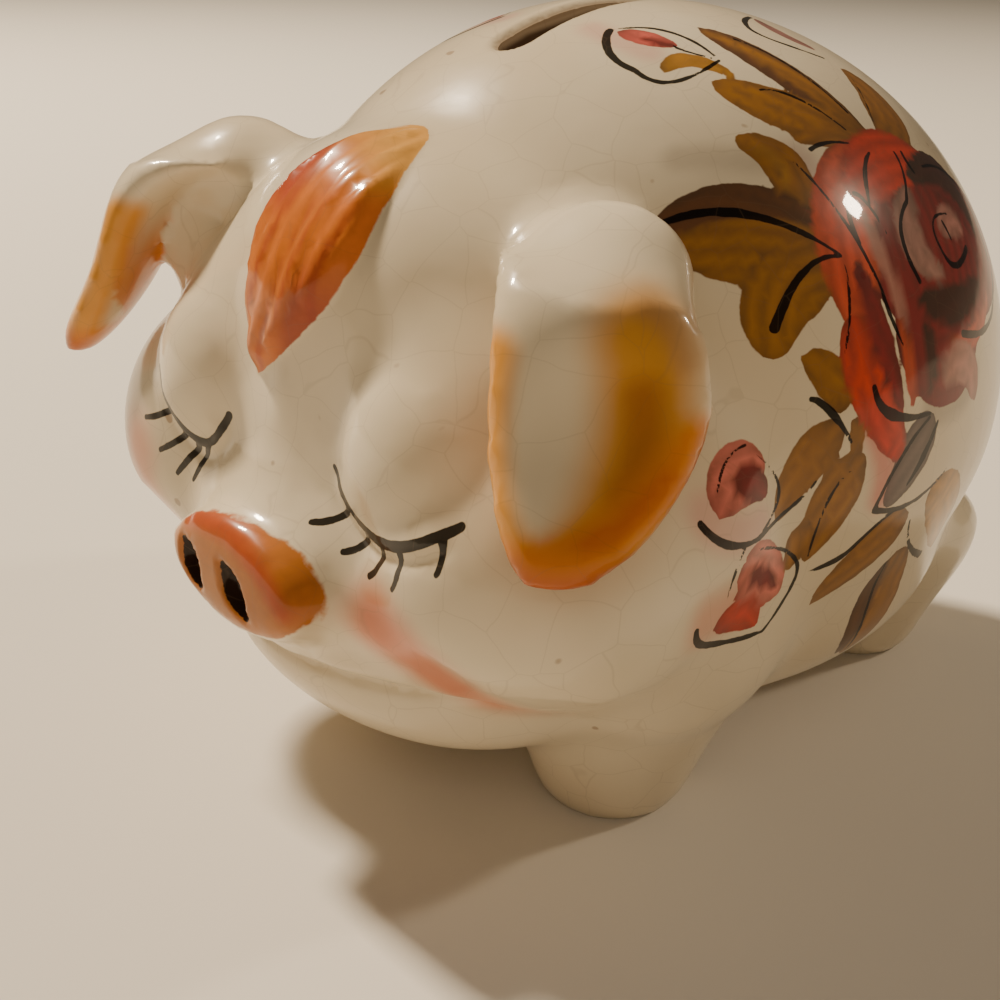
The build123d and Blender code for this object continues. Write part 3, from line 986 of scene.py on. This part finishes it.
def painted_glaze():
    """The clear glaze over ivory slip, washes, painted marks and black lines."""
    glaze = bpy.data.materials.new("painted_glaze")
    glaze.use_nodes = True
    nodes, links = glaze.node_tree.nodes, glaze.node_tree.links
    shader = nodes["Principled BSDF"]

    def node(kind, **values):
        made = nodes.new(kind)
        for name, value in values.items():
            setattr(made, name, value)
        return made

    def read(name):
        return node("ShaderNodeAttribute", attribute_name=name)

    def noise(scale, detail):
        texture = node("ShaderNodeTexNoise")
        texture.inputs["Scale"].default_value = scale
        texture.inputs["Detail"].default_value = detail
        links.new(place.outputs["Object"], texture.inputs["Vector"])
        return texture.outputs["Fac"]

    def ramp(value, low, high, low_to, high_to):
        spread = node("ShaderNodeMapRange", interpolation_type="SMOOTHSTEP")
        for name, number in (("From Min", low), ("From Max", high), ("To Min", low_to), ("To Max", high_to)):
            spread.inputs[name].default_value = number
        links.new(value, spread.inputs["Value"])
        return spread.outputs["Result"]

    def sum_of(first, second, share):
        add = node("ShaderNodeMath", operation="MULTIPLY_ADD")
        links.new(second, add.inputs[0])
        add.inputs[1].default_value = share
        links.new(first, add.inputs[2])
        return add.outputs[0]

    def mix(factor, below, above, blend="MIX"):
        layer = node("ShaderNodeMix", data_type="RGBA", blend_type=blend)
        for socket, value in ((0, factor), (6, below), (7, above)):
            if isinstance(value, (tuple, float)):
                layer.inputs[socket].default_value = value
            else:
                links.new(value, layer.inputs[socket])
        return layer.outputs[2]

    place = node("ShaderNodeTexCoord")
    cloud, bristle = noise(28, 3), noise(420, 3)
    slip = mix(ramp(cloud, 0.35, 0.65, 0, 1), SLIP, PALE_SLIP)
    specks = ramp(noise(240, 1), 0.765, 0.80, 0, 0.55)
    slip = mix(specks, slip, IRON_SPECK)
    ragged = ramp(bristle, 0.3, 0.7, -1, 1)
    washed = mix(ramp(read("wash_strength").outputs["Fac"], 0, 1, 0, 1), slip, read("wash").outputs["Color"])
    brushed = mix(ramp(bristle, 0.3, 0.7, 0, 0.12), read("paint").outputs["Color"], DRY_BRISTLE)
    paint_gap = sum_of(read("paint_edge").outputs["Fac"], ragged, 0.12)
    painted = mix(ramp(paint_gap, 0.12, -0.12, 0, 0.94), washed, brushed)
    ink_gap_here = sum_of(read("ink").outputs["Fac"], ragged, 0.07)
    inked = mix(ramp(ink_gap_here, 0.06, -0.06, 0, 0.96), painted, BLACK_INK)
    crazing = node("ShaderNodeTexVoronoi", feature="DISTANCE_TO_EDGE")
    crazing.inputs["Scale"].default_value = 150
    bend = node("ShaderNodeVectorMath", operation="MULTIPLY_ADD")
    wander = node("ShaderNodeTexNoise")
    wander.inputs["Scale"].default_value = 90
    links.new(place.outputs["Object"], wander.inputs["Vector"])
    links.new(wander.outputs["Color"], bend.inputs[0])
    bend.inputs[1].default_value = (0.004, 0.004, 0.004)
    links.new(place.outputs["Object"], bend.inputs[2])
    links.new(bend.outputs[0], crazing.inputs["Vector"])
    crazed = mix(ramp(crazing.outputs["Distance"], 0.0, 0.018, 0.13, 0), inked, CRAZING_STAIN)
    bare_here = read("bare_clay").outputs["Fac"]
    clay_shows = ramp(bare_here, 0.05, 0.35, 0, 1)
    links.new(mix(clay_shows, crazed, BARE_CLAY), shader.inputs["Base Color"])
    links.new(ramp(bare_here, 0, 1, 0.28, 0.9), shader.inputs["Roughness"])
    shader.inputs["Specular IOR Level"].default_value = 0.1
    shader.inputs["Coat Weight"].default_value = 0.5
    shader.inputs["Coat Roughness"].default_value = 0.04
    shader.inputs["Coat IOR"].default_value = 1.45
    ripple = node("ShaderNodeBump")
    ripple.inputs["Strength"].default_value = 0.12
    ripple.inputs["Distance"].default_value = 0.0006
    links.new(noise(150, 2), ripple.inputs["Height"])
    links.new(ripple.outputs["Normal"], shader.inputs["Normal"])
    links.new(ripple.outputs["Normal"], shader.inputs["Coat Normal"])
    return glaze


glaze = painted_glaze()
skin.data.materials.clear()
skin.data.materials.append(glaze)

# Castings. The worked clay is taken apart again into the castings that the potter luted together, each closed
# where it was joined. Every one keeps the skin's own smoothness, so that no join shows under the glaze.

NODES = ["body_shell", "forelock", "snout", "left_ear", "right_ear", "tail"]
NODES += ["front_left_leg", "front_right_leg", "rear_left_leg", "rear_right_leg"]
JOIN_DEPTH = 1.5  # how far a joined edge is turned in before it is closed
MOST_SKIN_CORNERS = 8  # a face with more is the closing of a join
LEAST_AGREEMENT = 0.6  # cosine between a face and the fired skin, under which the face is an inside or a cut


def take_off(node):
    """Separates one casting's faces from the skin."""
    take(skin)
    bpy.ops.object.mode_set(mode="EDIT")
    clay = bmesh.from_edit_mesh(skin.data)
    bpy.ops.mesh.select_all(action="DESELECT")
    clay.select_mode = {"FACE"}
    number = clay.verts.layers.int["casting"]
    wanted = NODES.index(node)
    for face in clay.faces:
        votes = sum(vert[number] == wanted for vert in face.verts)
        face.select = votes * 2 > len(face.verts)
    clay.select_flush_mode()
    bmesh.update_edit_mesh(skin.data)
    bpy.ops.mesh.separate(type="SELECTED")
    bpy.ops.object.mode_set(mode="OBJECT")
    return next(thing for thing in bpy.context.selected_objects if thing is not skin)


def close_and_smooth(casting):
    """Closes the openings left by its joins, and gives its faces the fired skin's smooth directions."""
    take(casting)
    bpy.ops.object.mode_set(mode="EDIT")
    clay = bmesh.from_edit_mesh(casting.data)
    bpy.ops.mesh.select_all(action="DESELECT")
    clay.select_mode = {"EDGE"}
    for edge in clay.edges:
        edge.select = edge.is_boundary
    clay.select_flush_mode()
    bmesh.update_edit_mesh(casting.data)
    bpy.ops.mesh.extrude_edges_move()
    clay = bmesh.from_edit_mesh(casting.data)
    for vert in clay.verts:
        if vert.select:
            vert.co -= fired_normal(vert.co)[0] * JOIN_DEPTH * MM
    bmesh.update_edit_mesh(casting.data)
    bpy.ops.mesh.select_all(action="SELECT")
    bpy.ops.mesh.fill_holes(sides=0)
    bpy.ops.object.mode_set(mode="OBJECT")
    bpy.ops.object.shade_smooth()
    mesh = casting.data
    smooth = [fired_normal(vert.co) for vert in mesh.vertices]
    directions = []
    for polygon in mesh.polygons:
        own = polygon.normal
        closes_join = polygon.loop_total > MOST_SKIN_CORNERS
        for index in polygon.vertices:
            direction, off = smooth[index]
            on_skin = off < SKIN_SLACK * MM and not closes_join
            fits = on_skin and direction.dot(own) > LEAST_AGREEMENT
            directions.append(direction if fits else own)
    mesh.normals_split_custom_set(directions)


layer = skin.data.attributes.new("casting", "INT", "POINT")
layer.data.foreach_set("value", np.array([NODES.index(label) for label in labels], dtype=np.int32))
castings = {node: take_off(node) for node in NODES[1:]}
castings["body_shell"] = skin
for node, casting in castings.items():
    casting.name = f"cast_{node}"
    close_and_smooth(casting)
    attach(casting, "bank")
    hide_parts(node)
fired.free()

# Stopper. A soft cream rubber plug moulded in one piece: a flange that seats in the belly's recess, two ribs
# that grip the hole, and a bar to pull it by, across the hollow underneath. It is pushed in from below.

FLANGE_RADIUS, FLANGE_LOW, PLUG_RADIUS, RIB_RADIUS, PLUG_TOP = 16.5, 4.2, 13.2, 13.44, 16.0
GRIP_RADIUS, GRIP_TOP = 9.5, 12.7
BAR_LENGTH, BAR_WIDTH, BAR_HEIGHT, BAR_MIDDLE_Z, BAR_ROUND = 19.2, 3.2, 5, 7.1, 0.5
STOPPER_ROWS = (
    (GRIP_TOP, GRIP_RADIUS - 0.8),
    (GRIP_TOP - 0.8, GRIP_RADIUS),
    (FLANGE_LOW + 0.5, GRIP_RADIUS),
    (FLANGE_LOW, GRIP_RADIUS + 0.5),
    (FLANGE_LOW, FLANGE_RADIUS - 1.0),
    (FLANGE_LOW + 0.3, FLANGE_RADIUS - 0.3),
    (FLANGE_LOW + 1.0, FLANGE_RADIUS),
    (SEAT_Z - 0.1, FLANGE_RADIUS),
    (SEAT_Z, FLANGE_RADIUS - 0.1),
    (SEAT_Z, PLUG_RADIUS),
    (8.0, PLUG_RADIUS),
    (8.2, RIB_RADIUS),
    (8.8, RIB_RADIUS),
    (9.0, PLUG_RADIUS),
    (10.8, PLUG_RADIUS),
    (11.0, RIB_RADIUS),
    (11.6, RIB_RADIUS),
    (11.8, PLUG_RADIUS),
    (PLUG_TOP - 1.2, PLUG_RADIUS),
    (PLUG_TOP, PLUG_RADIUS - 1.2),
)
plug_rows = [(height, 0, radius, 0, radius) for height, radius in STOPPER_ROWS]
stopper = rings("rubber_stopper", Vector((0, HOLE_Y, 0)), X, Z, plug_rows, around=96, smooth=0)
clear_selection()
bar_place = Vector((0, HOLE_Y, BAR_MIDDLE_Z)) * MM
bar_size = Vector((BAR_LENGTH, BAR_WIDTH, BAR_HEIGHT)) * MM
bpy.ops.mesh.primitive_cube_add(size=1, location=bar_place, scale=bar_size)
bar = bpy.context.object
bpy.ops.object.transform_apply(location=True, scale=True)
bpy.ops.object.mode_set(mode="EDIT")
bpy.ops.mesh.select_all(action="SELECT")
bpy.ops.mesh.bevel(offset=BAR_ROUND * MM, segments=3, affect="EDGES")
bpy.ops.object.mode_set(mode="OBJECT")
take(stopper, bar)
bpy.ops.object.join()
bpy.ops.object.shade_smooth_by_angle(angle=math.radians(35))


def cream_rubber():
    """Matt moulded rubber, a little dusty."""
    rubber = bpy.data.materials.new("cream_rubber")
    rubber.use_nodes = True
    nodes, links = rubber.node_tree.nodes, rubber.node_tree.links
    shader = nodes["Principled BSDF"]
    place = nodes.new("ShaderNodeTexCoord")
    dust = nodes.new("ShaderNodeTexNoise")
    dust.inputs["Scale"].default_value = 260
    dust.inputs["Detail"].default_value = 4
    links.new(place.outputs["Object"], dust.inputs["Vector"])
    shade = nodes.new("ShaderNodeMix")
    shade.data_type = "RGBA"
    shade.inputs[6].default_value = (0.55, 0.47, 0.35, 1)
    shade.inputs[7].default_value = (0.64, 0.56, 0.43, 1)
    links.new(dust.outputs["Fac"], shade.inputs[0])
    links.new(shade.outputs[2], shader.inputs["Base Color"])
    bump = nodes.new("ShaderNodeBump")
    bump.inputs["Strength"].default_value = 0.25
    bump.inputs["Distance"].default_value = 0.0002
    links.new(dust.outputs["Fac"], bump.inputs["Height"])
    links.new(bump.outputs["Normal"], shader.inputs["Normal"])
    shader.inputs["Roughness"].default_value = 0.62
    return rubber


stopper.data.materials.clear()
stopper.data.materials.append(cream_rubber())
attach(stopper, "stopper")
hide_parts("stopper")

# Studio. A plain pale floor, a warm key lamp from the pig's right, a smaller lamp behind, a broad fill that
# leaves no reflection, and the camera in front of the pig's left cheek.

FLOOR_SIZE, FLOOR_COLOUR = 4, (0.75, 0.7, 0.62, 1)
ROOM_COLOUR, ROOM_STRENGTH = (1, 0.9, 0.76, 1), 0.05
LAMP_AIM = Vector((0, 0, 0.05))
CAMERA_PLACE, CAMERA_AIM = Vector((0.1389, -0.1484, 0.1136)), Vector((0, -0.02263, 0.03469))
CAMERA_LENS, CAMERA_SENSOR, CAMERA_ROLL = 52.2, 36, 1.77

clear_selection()
bpy.ops.mesh.primitive_plane_add(size=FLOOR_SIZE, location=(0, 0, 0))
floor = bpy.context.object
floor.name = "floor"
floor_finish = bpy.data.materials.new("floor")
floor_finish.use_nodes = True
floor_shader = floor_finish.node_tree.nodes["Principled BSDF"]
floor_shader.inputs["Base Color"].default_value = FLOOR_COLOUR
floor_shader.inputs["Roughness"].default_value = 0.9
floor.data.materials.append(floor_finish)
studio = bpy.data.worlds.new("studio")
bpy.context.scene.world = studio
studio.use_nodes = True
studio.node_tree.nodes["Background"].inputs["Color"].default_value = ROOM_COLOUR
studio.node_tree.nodes["Background"].inputs["Strength"].default_value = ROOM_STRENGTH


def turn_towards(thing, place, aim):
    """Points a lamp or camera at its aim, with its top upwards."""
    thing.rotation_mode = "QUATERNION"
    thing.rotation_quaternion = (aim - place).to_track_quat("-Z", "Y")


def lamp(name, place, size, power, colour):
    """A square soft lamp aimed at the middle of the pig."""
    bpy.ops.object.light_add(type="AREA", location=place)
    light = bpy.context.object
    light.name = name
    light.data.size = size
    light.data.energy = power
    light.data.color = colour
    turn_towards(light, Vector(place), LAMP_AIM)
    return light


lamp("key", (-1.04, -0.14, 1.15), 0.16, 42, (1, 0.84, 0.63))
lamp("back", (0.68, 1.24, 0.92), 0.12, 8, (1, 0.82, 0.6))
fill = lamp("fill", (0.9, -1.0, 0.9), 1.0, 4, (1, 0.84, 0.64))
fill.visible_glossy = False

bpy.ops.object.camera_add(location=CAMERA_PLACE)
camera = bpy.context.object
camera.data.lens = CAMERA_LENS
camera.data.sensor_width = CAMERA_SENSOR
camera.data.clip_start = 0.005
turn_towards(camera, CAMERA_PLACE, CAMERA_AIM)
camera.rotation_quaternion = camera.rotation_quaternion @ Quaternion((0, 0, 1), math.radians(CAMERA_ROLL))
bpy.context.scene.camera = camera
